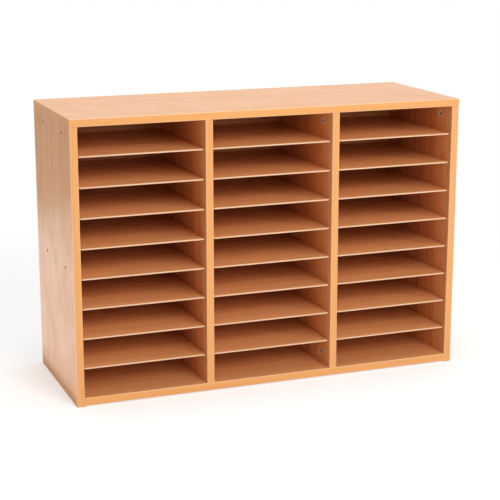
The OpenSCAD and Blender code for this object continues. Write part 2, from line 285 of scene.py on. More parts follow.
class SorterStage(bpy.types.PropertyGroup):
    """Floor, light and camera."""

    floor_colour: FloatVectorProperty(
        name="Floor", description="Colour of the pale floor",
        subtype="COLOR", size=3, default=(0.88, 0.88, 0.88))
    floor_reach: FloatProperty(
        name="Floor reach", description="Half the width of the floor",
        subtype="DISTANCE", unit="LENGTH", default=12.0)
    floor_clearance: FloatProperty(
        name="Floor clearance", description="Hair's breadth between the object's feet and the floor",
        subtype="DISTANCE", unit="LENGTH", default=0.0002)
    floor_glow: FloatProperty(
        name="Floor glow", description="White that the camera sees on the floor over its lit colour",
        min=0.0, max=1.0, default=0.36)
    shadow_near: FloatProperty(
        name="Shadow full", description="Distance within which the floor shows its shadow in full",
        subtype="DISTANCE", unit="LENGTH", default=0.75)
    shadow_far: FloatProperty(
        name="Shadow end", description="Distance past which the floor is plain white",
        subtype="DISTANCE", unit="LENGTH", default=1.5)
    sky_level: FloatProperty(
        name="Sky level", description="Light that the white surround gives the object",
        min=0.0, max=1.0, default=0.43)
    key_place: FloatVectorProperty(
        name="Key light place", description="Where the large soft lamp stands",
        subtype="TRANSLATION", unit="LENGTH", size=3, default=(0.5, -3.2, 1.75))
    key_size: FloatProperty(
        name="Key light size", description="Width of the large soft lamp",
        subtype="DISTANCE", unit="LENGTH", default=1.8)
    key_power: FloatProperty(
        name="Key light power", description="Power of the large soft lamp",
        unit="POWER", default=61.5)
    top_place: FloatVectorProperty(
        name="Top light place", description="Where the overhead lamp hangs",
        subtype="TRANSLATION", unit="LENGTH", size=3, default=(0.0, 0.2, 2.5))
    top_size: FloatProperty(
        name="Top light size", description="Width of the overhead lamp",
        subtype="DISTANCE", unit="LENGTH", default=1.6)
    top_power: FloatProperty(
        name="Top light power", description="Power of the overhead lamp",
        unit="POWER", default=17.5)
    fill_place: FloatVectorProperty(
        name="Fill light place", description="Where the low lamp lies, beside the left side and behind it",
        subtype="TRANSLATION", unit="LENGTH", size=3, default=(-0.77, 0.71, 0.004))
    fill_width: FloatProperty(
        name="Fill light width", description="Width of the low lamp",
        subtype="DISTANCE", unit="LENGTH", default=0.7)
    fill_length: FloatProperty(
        name="Fill light length", description="Length of the low lamp from front to back",
        subtype="DISTANCE", unit="LENGTH", default=1.74)
    fill_power: FloatProperty(
        name="Fill light power", description="Power of the low lamp",
        unit="POWER", default=8.5)
    side_place: FloatVectorProperty(
        name="Side light place", description="Where the weak lamp on the left stands",
        subtype="TRANSLATION", unit="LENGTH", size=3, default=(-1.9, 0.6, 1.5))
    side_size: FloatProperty(
        name="Side light size", description="Width of the weak lamp on the left",
        subtype="DISTANCE", unit="LENGTH", default=1.2)
    side_power: FloatProperty(
        name="Side light power", description="Power of the weak lamp on the left",
        unit="POWER", default=1.6)
    camera_place: FloatVectorProperty(
        name="Camera place", description="Where the camera stands",
        subtype="TRANSLATION", unit="LENGTH", size=3, default=(-1.021, -2.681, 0.944))
    camera_turn: FloatProperty(
        name="Camera turn", description="Angle that the camera is turned to the right",
        subtype="ANGLE", unit="ROTATION", default=math.radians(20.98))
    camera_dip: FloatProperty(
        name="Camera dip", description="Angle that the camera looks down",
        subtype="ANGLE", unit="ROTATION", default=math.radians(13.71))
    camera_lens: FloatProperty(
        name="Camera lens", description="Focal length on a sensor 36 mm wide, in millimetres",
        default=101.94)


def add_node(tree, kind, sockets=None, **settings):
    """Adds a node. Sockets are its inputs by name or number, each a value or another node's output."""
    node = tree.nodes.new(kind)
    for name, value in settings.items():
        setattr(node, name, value)
    for name, value in (sockets or {}).items():
        if isinstance(value, bpy.types.NodeSocket):
            tree.links.new(value, node.inputs[name])
        else:
            node.inputs[name].default_value = value
    return node


def maths(tree, operation, first, second=0.0):
    """One sum on two numbers."""
    node = add_node(tree, "ShaderNodeMath", {0: first, 1: second}, operation=operation)
    return node.outputs[0]


def ramp(tree, value, low, high, to_low=0.0, to_high=1.0):
    """A smooth step of value from low to high."""
    sockets = {0: value, 1: low, 2: high, 3: to_low, 4: to_high}
    node = add_node(tree, "ShaderNodeMapRange", sockets, interpolation_type="SMOOTHSTEP")
    return node.outputs[0]


def fade(tree, pattern, start, end, strength=1.0):
    """A share that grows with a pattern: nought up to the level start, and strength from the level end."""
    return ramp(tree, pattern, start, end, 0.0, strength)


def worn_gloss(tree, pattern, gloss, smoother, rougher):
    """A roughness round gloss: smoother where a pattern is low, and rougher where it is high."""
    return ramp(tree, pattern, *WEAR_LEVELS, gloss - smoother, gloss + rougher)


def mix(tree, share, first, second):
    """A colour between two colours, each given as a colour or another node's output."""
    sockets = {0: share, 6: as_colour(first), 7: as_colour(second)}
    node = add_node(tree, "ShaderNodeMix", sockets, data_type="RGBA")
    return node.outputs[2]


def as_colour(value):
    """A colour with its fourth number, or the output as it is."""
    if isinstance(value, bpy.types.NodeSocket):
        return value
    return (*value, 1.0)


def shade(colour, share):
    """A colour dimmed to a share of itself."""
    return [share * value for value in colour]


def noise(tree, point, cell, detail):
    """Noise whose cells measure cell, three lengths in metres."""
    scale = [1.0 / length for length in cell]
    mapping = add_node(tree, "ShaderNodeMapping", {"Vector": point, "Scale": scale})
    sockets = {"Vector": mapping.outputs[0], "Scale": 1.0, "Detail": detail}
    return add_node(tree, "ShaderNodeTexNoise", sockets).outputs[0]


def even(size):
    """Three equal lengths."""
    return [size] * len(AXES)


def along(axis, length, across):
    """Three lengths: length on one axis and across on the other two."""
    return [length if name == axis else across for name in AXES]


def on_sheet(grain, length, thickness, depth, width):
    """Three lengths of a pattern on a board: along its grain, through it and across it."""
    lengths = {grain: length, thickness: depth}
    return [lengths.get(name, width) for name in AXES]


def split(tree, vector, axis):
    """One coordinate of a vector."""
    node = add_node(tree, "ShaderNodeSeparateXYZ", {0: vector})
    return node.outputs[axis]


def new_material(name, metallic=0.0, index=FILM_INDEX):
    """A material with its tree, its shader and the object's own coordinates."""
    material = bpy.data.materials.new(name)
    material.use_nodes = True
    tree = material.node_tree
    shader = tree.nodes["Principled BSDF"]
    shader.inputs["Metallic"].default_value = metallic
    shader.inputs["IOR"].default_value = index
    place = tree.nodes.new("ShaderNodeTexCoord")
    return material, tree, shader, place


def add_relief(tree, shader, height, depth):
    """Gives a shader fine relief from a height pattern."""
    sockets = {"Height": height, "Strength": 1.0, "Distance": depth}
    bump = add_node(tree, "ShaderNodeBump", sockets)
    tree.links.new(bump.outputs[0], shader.inputs["Normal"])


# Printed beech: lengths of its marks along the grain, and the depth over which its zones of streaks change
BAND_LENGTH = 0.9
LINE_LENGTH = 0.11
STREAK_LENGTH = 0.5
ZONE_LENGTH = 1.5
ZONE_DEPTH = 0.008

# Levels between which its marks come in, and how strong they get
BAND_FADE = (0.35, 0.72, 0.6)
LINE_FADE = (0.48, 0.80, 0.4)
STREAK_FADE = (0.44, 0.66)
ZONE_FADE = (0.46, 0.60)
FLECK_FADE = (0.60, 0.72, 0.4)


def beech_pattern(tree, point, thickness, grain, finish, streak_strength):
    """Printed beech along the grain's axis: its colour, and the height of its pores."""
    zone = on_sheet(grain, ZONE_LENGTH, thickness, ZONE_DEPTH, finish.zone_width)
    bands = noise(tree, point, along(grain, BAND_LENGTH, finish.band_width), FINE)
    lines = noise(tree, point, along(grain, LINE_LENGTH, finish.line_width), FINE)
    streaks = noise(tree, point, along(grain, STREAK_LENGTH, finish.streak_width), PLAIN)
    zones = noise(tree, point, zone, SOFT)
    flecks = noise(tree, point, along(grain, finish.fleck_length, finish.fleck_width), SOFT)
    in_zone = fade(tree, zones, *ZONE_FADE, streak_strength)
    streak_share = maths(tree, "MULTIPLY", fade(tree, streaks, *STREAK_FADE), in_zone)
    fleck_share = fade(tree, flecks, *FLECK_FADE)
    colour = mix(tree, fade(tree, bands, *BAND_FADE), finish.beech, finish.beech_band)
    colour = mix(tree, fade(tree, lines, *LINE_FADE), colour, finish.beech_line)
    colour = mix(tree, streak_share, colour, finish.beech_streak)
    colour = mix(tree, fleck_share, colour, finish.beech_fleck)
    return colour, maths(tree, "SUBTRACT", lines, fleck_share)


# Bare chipboard: sizes of chips and crumbs against the chip size, and levels between which they come in
CHIP_THICKNESS = 0.5
CHIP_BREADTH = 1.5
CRUMB_SIZE = 0.35
CHIP_FADE = (0.36, 0.66)
CRUMB_FADE = (0.55, 0.75, 0.5)
DUST_FADE = (0.30, 0.75)


def chip_pattern(tree, point, thickness, core, finish):
    """Bare chipboard: coarse flat chips where core is one, fine dust elsewhere, and their height."""
    size = finish.chip_size
    chips = noise(tree, point, along(thickness, size * CHIP_THICKNESS, size * CHIP_BREADTH), FINER)
    crumbs = noise(tree, point, even(size * CRUMB_SIZE), PLAIN)
    coarse = mix(tree, fade(tree, chips, *CHIP_FADE), finish.chip_dark, finish.chip_pale)
    coarse = mix(tree, fade(tree, crumbs, *CRUMB_FADE), coarse, finish.chip_pale)
    fine = mix(tree, fade(tree, crumbs, *DUST_FADE), finish.chip_dust, finish.chip_pale)
    height = maths(tree, "ADD", maths(tree, "MULTIPLY", chips, core), crumbs)
    return mix(tree, core, fine, coarse), height


def within(tree, point, across, low, high, margin):
    """One where a point lies further than margin inside a board's outline, seen along the axis across."""
    share = 1.0
    for axis in range(3):
        if axis != across:
            middle = (low[axis] + high[axis]) / 2
            half = (high[axis] - low[axis]) / 2 - margin
            offset = maths(tree, "SUBTRACT", split(tree, point, axis), middle)
            inner = maths(tree, "LESS_THAN", maths(tree, "ABSOLUTE", offset), half)
            share = maths(tree, "MULTIPLY", inner, share)
    return share


# Case boards: share of the core that is all coarse, wear of the faces, roughness and crumbs of the bare
# edges, and depth of the relief
CORE_FULL = 0.7
BOARD_SMOOTHER = 0.05
BOARD_ROUGHER = 0.07
BARE_ROUGHNESS = 0.85
CRUMB_HEIGHT = 5.0
BOARD_RELIEF = 0.00005


def case_board(node, finish):
    """Material of one case board: printed beech on its two faces, painted shade in the holes of its outer
    face, and bare chipboard elsewhere.
    """
    thickness, grain = CASE_BOARDS[node]
    low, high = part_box(node)
    axis = AXES.index(thickness)
    middle = (low[axis] + high[axis]) / 2
    foil_start = (high[axis] - low[axis]) / 2 - finish.foil_depth
    index = MATT_FILM_INDEX if grain == "Z" else FILM_INDEX
    material, tree, shader, place = new_material(node + "_beech", index=index)
    point = place.outputs["Object"]
    facing = maths(tree, "ABSOLUTE", split(tree, place.outputs["Normal"], axis))
    from_middle = maths(tree, "ABSOLUTE", maths(tree, "SUBTRACT", split(tree, point, axis), middle))
    on_face = maths(tree, "GREATER_THAN", facing, SQUARE_ON)
    near_face = maths(tree, "GREATER_THAN", from_middle, foil_start)
    printed = maths(tree, "MULTIPLY", on_face, near_face)
    from_centre = maths(tree, "ABSOLUTE", split(tree, point, axis))
    outer_half = maths(tree, "GREATER_THAN", from_centre, abs(middle))
    streaks = finish.streaks_inside
    if node in OUTER_BOARDS:
        streaks = ramp(tree, outer_half, 0.0, 1.0, finish.streaks_inside, finish.streaks_outside)
    beech, pores = beech_pattern(tree, point, thickness, grain, finish, streaks)
    core = ramp(tree, from_middle, finish.core_depth, finish.core_depth * CORE_FULL)
    chips, crumbs = chip_pattern(tree, point, thickness, core, finish)
    # Painted shade: the walls of the holes in the outer faces take the near-black painted shade colour
    inside = within(tree, point, axis, low, high, finish.edge_depth)
    hole_wall_shaded = maths(tree, "MULTIPLY", inside, outer_half)
    chips = mix(tree, hole_wall_shaded, chips, finish.bore_shade)
    tree.links.new(mix(tree, printed, chips, beech), shader.inputs["Base Color"])
    bare = maths(tree, "SUBTRACT", 1.0, printed)
    worn = noise(tree, point, even(WEAR_SIZE), FINE)
    satin = worn_gloss(tree, worn, finish.gloss, BOARD_SMOOTHER, BOARD_ROUGHER)
    rough = maths(tree, "MAXIMUM", satin, maths(tree, "MULTIPLY", bare, BARE_ROUGHNESS))
    tree.links.new(rough, shader.inputs["Roughness"])
    crumb_height = maths(tree, "MULTIPLY", bare, maths(tree, "MULTIPLY", crumbs, CRUMB_HEIGHT))
    add_relief(tree, shader, maths(tree, "ADD", pores, crumb_height), BOARD_RELIEF)
    return material


# Edge strips: their streaks, their broad tones, the painted highlight on their rounded corners (partly also
# the paler trimmed edge), wear, and depth of the relief
STRIP_STREAK_LENGTH = 0.25
STRIP_STREAK_WIDTH = 0.0018
STRIP_TONE_LENGTH = 0.6
STRIP_TONE_WIDTH = 0.06
STRIP_STREAK_FADE = (0.40, 0.75, 0.55)
STRIP_TONE_FADE = (0.35, 0.70, 0.25)
ARRIS_FADE = (0.985, 0.88)
STRIP_SMOOTHER = 0.06
STRIP_ROUGHER = 0.04
STRIP_RELIEF = 0.00003


def arris(tree, normal):
    """One on a rounded corner, where no axis comes close to the surface's own direction."""
    parts = add_node(tree, "ShaderNodeSeparateXYZ", {0: normal}).outputs
    sizes = [maths(tree, "ABSOLUTE", part) for part in parts]
    largest = maths(tree, "MAXIMUM", maths(tree, "MAXIMUM", sizes[0], sizes[1]), sizes[2])
    return fade(tree, largest, *ARRIS_FADE)


def edge_strip(axis, finish):
    """Material of the edge strips that run along one axis."""
    index = MATT_FILM_INDEX if axis == "Y" else FILM_INDEX
    material, tree, shader, place = new_material("edge_strip_" + axis.lower(), index=index)
    point = place.outputs["Object"]
    streaks = noise(tree, point, along(axis, STRIP_STREAK_LENGTH, STRIP_STREAK_WIDTH), FINE)
    tones = noise(tree, point, along(axis, STRIP_TONE_LENGTH, STRIP_TONE_WIDTH), PLAIN)
    colour = mix(tree, fade(tree, streaks, *STRIP_STREAK_FADE), finish.strip, finish.strip_streak)
    colour = mix(tree, fade(tree, tones, *STRIP_TONE_FADE), colour, finish.beech)
    # Painted highlight: the rounded corners are made paler as if lit, partly also standing for the paler
    # trimmed edge
    rounding = arris(tree, place.outputs["Normal"])
    colour = mix(tree, rounding, colour, finish.strip_arris_highlight)
    tree.links.new(colour, shader.inputs["Base Color"])
    worn = worn_gloss(tree, tones, finish.gloss, STRIP_SMOOTHER, STRIP_ROUGHER)
    tree.links.new(worn, shader.inputs["Roughness"])
    add_relief(tree, shader, streaks, STRIP_RELIEF)
    return material


# Shelves: their faces, fibres and roughness of the cut edge, and depth of the relief
SHELF_FACE_FADE = (0.75, 0.95)
SHELF_FIBRE = (0.004, 0.004, 0.0005)
SHELF_FIBRE_FADE = (0.35, 0.75, 0.4)
SHELF_EDGE_ROUGHNESS = 0.5
SHELF_RELIEF = 0.00004


def shelf_board(finish):
    """Material of the thin shelves: beech faces and pale cut edges."""
    material, tree, shader, place = new_material("shelf_beech")
    point = place.outputs["Object"]
    facing = maths(tree, "ABSOLUTE", split(tree, place.outputs["Normal"], AXES.index("Z")))
    printed = fade(tree, facing, *SHELF_FACE_FADE)
    beech, pores = beech_pattern(tree, point, "Z", "X", finish, finish.streaks_outside)
    fibres = noise(tree, point, SHELF_FIBRE, FINE)
    edge = mix(tree, fade(tree, fibres, *SHELF_FIBRE_FADE), finish.shelf_edge, finish.beech)
    tree.links.new(mix(tree, printed, edge, beech), shader.inputs["Base Color"])
    rough = ramp(tree, printed, 0.0, 1.0, SHELF_EDGE_ROUGHNESS, finish.gloss)
    tree.links.new(rough, shader.inputs["Roughness"])
    add_relief(tree, shader, maths(tree, "ADD", pores, fibres), SHELF_RELIEF)
    return material


# Back board: mottle, fibres and roughness of its bare rear, and depth of the relief
MOTTLE_SIZE = 0.05
BACK_FIBRE = (0.0022, 0.0022, 0.0007)
MOTTLE_FADE = (0.25, 0.80, 0.2)
BACK_FIBRE_FADE = (0.50, 0.75, 0.6)
BACK_ROUGHNESS = 0.72
BACK_FIBRE_HEIGHT = 4.0
BACK_RELIEF = 0.00005


def back_sheet(finish):
    """Material of the back board: beech print towards the slots and bare brown fibre behind."""
    material, tree, shader, place = new_material("back_board_fibre")
    point = place.outputs["Object"]
    outward = split(tree, place.outputs["Normal"], AXES.index("Y"))
    bare = maths(tree, "GREATER_THAN", outward, -SQUARE_ON)
    beech, pores = beech_pattern(tree, point, "Y", "Z", finish, finish.streaks_outside)
    mottle = noise(tree, point, even(MOTTLE_SIZE), FINEST)
    fibres = noise(tree, point, BACK_FIBRE, FINER)
    brown = mix(tree, fade(tree, mottle, *MOTTLE_FADE), finish.fibre, finish.fibre_pale)
    brown = mix(tree, fade(tree, fibres, *BACK_FIBRE_FADE), brown, finish.fibre_pale)
    tree.links.new(mix(tree, bare, beech, brown), shader.inputs["Base Color"])
    rough = ramp(tree, bare, 0.0, 1.0, finish.gloss, BACK_ROUGHNESS)
    tree.links.new(rough, shader.inputs["Roughness"])
    fibre_height = maths(tree, "MULTIPLY", bare, maths(tree, "MULTIPLY", fibres, BACK_FIBRE_HEIGHT))
    add_relief(tree, shader, maths(tree, "ADD", pores, fibre_height), BACK_RELIEF)
    return material


# Cam locks: grains and stains of the zinc, painted shade in its recesses, roughness, and depth of the
# relief
ZINC_METALLIC = 0.15
ZINC_GRAIN = 0.0006
ZINC_STAIN = 0.004
ZINC_STAIN_SHADE = 0.6
ZINC_STAIN_FADE = (0.35, 0.75, 0.25)
UNSHADED_FADE = (0.60, 0.82)
RECESS_RAYS = 16
ZINC_ROUGHNESS = (0.45, 0.62)
ZINC_RELIEF = 0.00004


def cast_zinc(finish):
    """Material of the cam locks: dull die-cast metal with a grainy skin, and painted shade in its recesses.
    """
    material, tree, shader, place = new_material("cast_zinc", metallic=ZINC_METALLIC)
    point = place.outputs["Object"]
    grains = noise(tree, point, even(ZINC_GRAIN), FINE)
    stains = noise(tree, point, even(ZINC_STAIN), FINE)
    darker = shade(finish.zinc, ZINC_STAIN_SHADE)
    colour = mix(tree, fade(tree, stains, *ZINC_STAIN_FADE), finish.zinc, darker)
    # Painted shade: ambient occlusion darkens the recesses towards the painted shade colour
    sockets = {"Distance": finish.recess_shade_reach}
    open_sky = add_node(tree, "ShaderNodeAmbientOcclusion", sockets, only_local=True, samples=RECESS_RAYS)
    unshaded = fade(tree, open_sky.outputs["AO"], *UNSHADED_FADE)
    colour = mix(tree, unshaded, finish.recess_shade, colour)
    tree.links.new(colour, shader.inputs["Base Color"])
    tree.links.new(ramp(tree, grains, *GRAIN_LEVELS, *ZINC_ROUGHNESS), shader.inputs["Roughness"])
    add_relief(tree, shader, grains, ZINC_RELIEF)
    return material


# Pins, bolts and nails: turning marks and stains of the plating, roughness, and depth of the relief
STEEL_MARK = (0.0003, 0.0012, 0.0012)
STEEL_STAIN = 0.003
STEEL_STAIN_SHADE = 0.75
STEEL_STAIN_FADE = (0.35, 0.75, 0.6)
STEEL_ROUGHNESS = (0.2, 0.4)
STEEL_RELIEF = 0.00002


def plated_steel(name, finish):
    """Material of the pins, bolts and nails: bright plating with fine turning marks."""
    material, tree, shader, place = new_material(name, metallic=1.0)
    point = place.outputs["Object"]
    marks = noise(tree, point, STEEL_MARK, FINE)
    stains = noise(tree, point, even(STEEL_STAIN), PLAIN)
    darker = shade(finish.steel, STEEL_STAIN_SHADE)
    colour = mix(tree, fade(tree, stains, *STEEL_STAIN_FADE), finish.steel, darker)
    tree.links.new(colour, shader.inputs["Base Color"])
    tree.links.new(ramp(tree, marks, *GRAIN_LEVELS, *STEEL_ROUGHNESS), shader.inputs["Roughness"])
    add_relief(tree, shader, marks, STEEL_RELIEF)
    return material


# Dowels: size, darkness and levels of the fibres, roughness, and depth of the relief
DOWEL_FIBRE = (0.0007, 0.0007, 0.012)
DOWEL_SHADE = 0.7
DOWEL_FADE = (0.35, 0.75, 0.7)
DOWEL_ROUGHNESS = 0.6
DOWEL_RELIEF = 0.0001


def dowel_wood(finish):
    """Material of the dowels: pale wood with upright grain."""
    material, tree, shader, place = new_material("dowel_birch")
    shader.inputs["Roughness"].default_value = DOWEL_ROUGHNESS
    point = place.outputs["Object"]
    fibres = noise(tree, point, DOWEL_FIBRE, FINE)
    darker = shade(finish.dowel, DOWEL_SHADE)
    colour = mix(tree, fade(tree, fibres, *DOWEL_FADE), finish.dowel, darker)
    tree.links.new(colour, shader.inputs["Base Color"])
    add_relief(tree, shader, fibres, DOWEL_RELIEF)
    return material


def paint(node, material):
    """Gives a carried-over solid its finish."""
    for slot in frame["nodes"][node].material_slots:
        slot.material = material


def lumps(node):
    """The separate solids of a carried-over node: the lowest and highest corner of each."""
    solid = bmesh.new()
    solid.from_mesh(frame["nodes"][node].data)
    bmesh.ops.remove_doubles(solid, verts=solid.verts, dist=MERGE_DISTANCE)
    waiting = set(solid.verts)
    boxes = []
    while waiting:
        edge_of_lump = [waiting.pop()]
        lump = []
        while edge_of_lump:
            vert = edge_of_lump.pop()
            lump.append(vert.co.copy())
            for edge in vert.link_edges:
                other = edge.other_vert(vert)
                if other in waiting:
                    waiting.discard(other)
                    edge_of_lump.append(other)
        low = Vector([min(co[i] for co in lump) for i in range(3)])
        high = Vector([max(co[i] for co in lump) for i in range(3)])
        boxes.append((low, high))
    solid.free()
    return sorted(boxes, key=lambda box: tuple(round(value, 5) for value in box[0]))


def new_tree(name, inputs):
    """A Geometry Nodes tree with named inputs, its input node and its output node."""
    tree = bpy.data.node_groups.new(name, "GeometryNodeTree")
    tree.interface.new_socket("Geometry", in_out="INPUT", socket_type="NodeSocketGeometry")
    for label, kind in inputs.items():
        tree.interface.new_socket(label, in_out="INPUT", socket_type=kind)
    tree.interface.new_socket("Geometry", in_out="OUTPUT", socket_type="NodeSocketGeometry")
    given = tree.nodes.new("NodeGroupInput").outputs
    result = tree.nodes.new("NodeGroupOutput")
    return tree, given, result


def close_tree(tree, geometry, given, result):
    """Ends a tree: instances made real, then the material."""
    real = add_node(tree, "GeometryNodeRealizeInstances", {"Geometry": geometry})
    sockets = {"Geometry": real.outputs[0], "Material": given["Material"]}
    dressed = add_node(tree, "GeometryNodeSetMaterial", sockets)
    tree.links.new(dressed.outputs[0], result.inputs[0])


def grow(name, tree, values, points=(), ease=0.0):
    """Runs a tree on a set of points and keeps the result as a plain mesh piece."""
    mesh = bpy.data.meshes.new(name + "_points")
    mesh.from_pydata([place for place, turn in points], [], [])
    turns = mesh.attributes.new("turn", "FLOAT_VECTOR", "POINT")
    for item, (place, turn) in zip(turns.data, points):
        item.vector = turn
    host = bpy.data.objects.new(name + "_host", mesh)
    bpy.context.scene.collection.objects.link(host)
    nodes = host.modifiers.new("Shape", "NODES")
    nodes.node_group = tree
    for item in tree.interface.items_tree:
        if item.in_out == "INPUT" and item.name in values:
            nodes[item.identifier] = values[item.name]
    if ease:
        bevel = host.modifiers.new("Ease", "BEVEL")
        bevel.width = ease
        bevel.segments = EASE_STEPS
        bevel.limit_method = "ANGLE"
        bevel.angle_limit = EASE_ANGLE
    graph = bpy.context.evaluated_depsgraph_get()
    made = bpy.data.meshes.new_from_object(host.evaluated_get(graph), depsgraph=graph)
    made.name = name
    bpy.data.objects.remove(host)
    bpy.data.meshes.remove(mesh)
    for face in made.polygons:
        face.use_smooth = True
    made.set_sharp_from_angle(angle=SHARP_ANGLE)
    piece = bpy.data.objects.new(name, made)
    bpy.context.scene.collection.objects.link(piece)
    return piece


def shelf_tree():
    """A thin board with round front corners: a filled outline, drawn up to its thickness and moved."""
    inputs = {
        "Width": "NodeSocketFloat",
        "Depth": "NodeSocketFloat",
        "Thickness": "NodeSocketFloat",
        "Corner": "NodeSocketFloat",
        "Place": "NodeSocketVector",
        "Material": "NodeSocketMaterial",
    }
    tree, given, result = new_tree("Shelf board", inputs)
    sockets = {"Width": given["Width"], "Height": given["Depth"]}
    outline = add_node(tree, "GeometryNodeCurvePrimitiveQuadrilateral", sockets)
    corner_place = tree.nodes.new("GeometryNodeInputPosition").outputs[0]
    at_front = maths(tree, "LESS_THAN", split(tree, corner_place, 1), 0.0)
    corner = maths(tree, "MULTIPLY", given["Corner"], at_front)
    sockets = {"Curve": outline.outputs[0], "Count": CORNER_STEPS, "Radius": corner}
    rounded = add_node(tree, "GeometryNodeFilletCurve", sockets, mode="POLY")
    underside = add_node(tree, "GeometryNodeFillCurve", {"Curve": rounded.outputs[0]}, mode="NGONS")
    sockets = {"Mesh": underside.outputs[0], "Offset Scale": given["Thickness"]}
    raised = add_node(tree, "GeometryNodeExtrudeMesh", sockets)
    turned = add_node(tree, "GeometryNodeFlipFaces", {"Mesh": underside.outputs[0]})
    whole = tree.nodes.new("GeometryNodeJoinGeometry")
    tree.links.new(raised.outputs[0], whole.inputs[0])
    tree.links.new(turned.outputs[0], whole.inputs[0])
    sockets = {"Geometry": whole.outputs[0], "Distance": MERGE_DISTANCE}
    closed = add_node(tree, "GeometryNodeMergeByDistance", sockets)
    sockets = {"Geometry": closed.outputs[0], "Translation": given["Place"]}
    placed = add_node(tree, "GeometryNodeTransform", sockets)
    close_tree(tree, placed.outputs[0], given, result)
    return tree


def scatter(tree, given, shape):
    """Sets a copy of a shape on each point, turned as the point says."""
    sockets = {"Name": "turn"}
    turn = add_node(tree, "GeometryNodeInputNamedAttribute", sockets, data_type="FLOAT_VECTOR")
    sockets = {"Points": given["Geometry"], "Instance": shape, "Rotation": turn.outputs[0]}
    return add_node(tree, "GeometryNodeInstanceOnPoints", sockets).outputs[0]


def stand(tree, shape, offset, turn=(0.0, 0.0, 0.0)):
    """Turns a shape, then moves it."""
    sockets = {"Geometry": shape, "Translation": offset, "Rotation": turn}
    return add_node(tree, "GeometryNodeTransform", sockets).outputs[0]


def point_on(tree, axis, distance):
    """A point on one axis."""
    return add_node(tree, "ShaderNodeCombineXYZ", {AXES.index(axis): distance}).outputs[0]


def join(tree, *shapes):
    """Several shapes as one."""
    node = tree.nodes.new("GeometryNodeJoinGeometry")
    for shape in shapes:
        tree.links.new(shape, node.inputs[0])
    return node.outputs[0]


def pin_tree():
    """Shelf pins: round pegs along X from each point, with their tops cut flat."""
    inputs = {
        "Radius": "NodeSocketFloat",
        "Length": "NodeSocketFloat",
        "Flat": "NodeSocketFloat",
        "Sides": "NodeSocketInt",
        "Material": "NodeSocketMaterial",
    }
    tree, given, result = new_tree("Shelf pins", inputs)
    sockets = {"Vertices": given["Sides"], "Radius": given["Radius"], "Depth": given["Length"]}
    peg = add_node(tree, "GeometryNodeMeshCylinder", sockets).outputs[0]
    half = maths(tree, "MULTIPLY", given["Length"], 0.5)
    lying = stand(tree, peg, point_on(tree, "X", half), (0.0, math.pi / 2, 0.0))
    place = tree.nodes.new("GeometryNodeInputPosition").outputs[0]
    parts = add_node(tree, "ShaderNodeSeparateXYZ", {0: place}).outputs
    under = maths(tree, "MINIMUM", parts["Z"], given["Flat"])
    cut = add_node(tree, "ShaderNodeCombineXYZ", {"X": parts["X"], "Y": parts["Y"], "Z": under})
    sockets = {"Geometry": lying, "Position": cut.outputs[0]}
    flat = add_node(tree, "GeometryNodeSetPosition", sockets).outputs[0]
    close_tree(tree, scatter(tree, given, flat), given, result)
    return tree


def nail_tree():
    """Nails along Y from each point: a crowned head over a pointed shank."""
    inputs = {
        "Head Radius": "NodeSocketFloat",
        "Head Height": "NodeSocketFloat",
        "Crown": "NodeSocketFloat",
        "Shank Radius": "NodeSocketFloat",
        "Shank Length": "NodeSocketFloat",
        "Material": "NodeSocketMaterial",
    }
    tree, given, result = new_tree("Board nails", inputs)
    crown = maths(tree, "MULTIPLY", given["Head Height"], given["Crown"])
    rim = maths(tree, "SUBTRACT", given["Head Height"], crown)
    head_radius = given["Head Radius"]
    shank_radius = given["Shank Radius"]
    crown_top = maths(tree, "MULTIPLY", head_radius, CROWN_TOP)
    point = maths(tree, "MULTIPLY", shank_radius, POINT_LENGTH)
    straight = maths(tree, "SUBTRACT", given["Shank Length"], point)
    below = maths(tree, "MULTIPLY", straight, -1.0)
    tip = maths(tree, "MULTIPLY", given["Shank Length"], -1.0)
    sockets = {"Vertices": NAIL_SIDES, "Radius Top": head_radius, "Radius Bottom": head_radius}
    disc = add_node(tree, "GeometryNodeMeshCone", {**sockets, "Depth": rim}).outputs[0]
    sockets = {"Vertices": NAIL_SIDES, "Radius Top": crown_top, "Radius Bottom": head_radius}
    dome = add_node(tree, "GeometryNodeMeshCone", {**sockets, "Depth": crown}).outputs[0]
    sockets = {"Vertices": NAIL_SIDES, "Radius Top": shank_radius, "Radius Bottom": shank_radius}
    shank = add_node(tree, "GeometryNodeMeshCone", {**sockets, "Depth": straight}).outputs[0]
    sockets = {"Vertices": NAIL_SIDES, "Radius Top": shank_radius, "Radius Bottom": 0.0}
    spike = add_node(tree, "GeometryNodeMeshCone", {**sockets, "Depth": point}).outputs[0]
    whole = join(
        tree,
        disc,
        stand(tree, dome, point_on(tree, "Z", rim)),
        stand(tree, shank, point_on(tree, "Z", below)),
        stand(tree, spike, point_on(tree, "Z", tip)),
    )
    outward = stand(tree, whole, (0.0, 0.0, 0.0), (-math.pi / 2, 0.0, 0.0))
    close_tree(tree, scatter(tree, given, outward), given, result)
    return tree


class SORTER_OT_case_boards(bpy.types.Operator):
    """Finish the top, bottom, sides and dividers in printed beech with bare cut edges"""

    bl_idname = "sorter.case_boards"
    bl_label = "Case Boards"

    def execute(self, context):
        for node in CASE_BOARDS:
            paint(node, case_board(node, context.scene.sorter_finish))
        return {"FINISHED"}


class SORTER_OT_edge_strips(bpy.types.Operator):
    """Finish the strips on the boards' front edges and the top's ends"""

    bl_idname = "sorter.edge_strips"
    bl_label = "Edge Strips"

    def execute(self, context):
        finish = context.scene.sorter_finish
        finishes = {axis: edge_strip(axis, finish) for axis in AXES}
        for node, axis in EDGE_STRIPS.items():
            paint(node, finishes[axis])
        return {"FINISHED"}


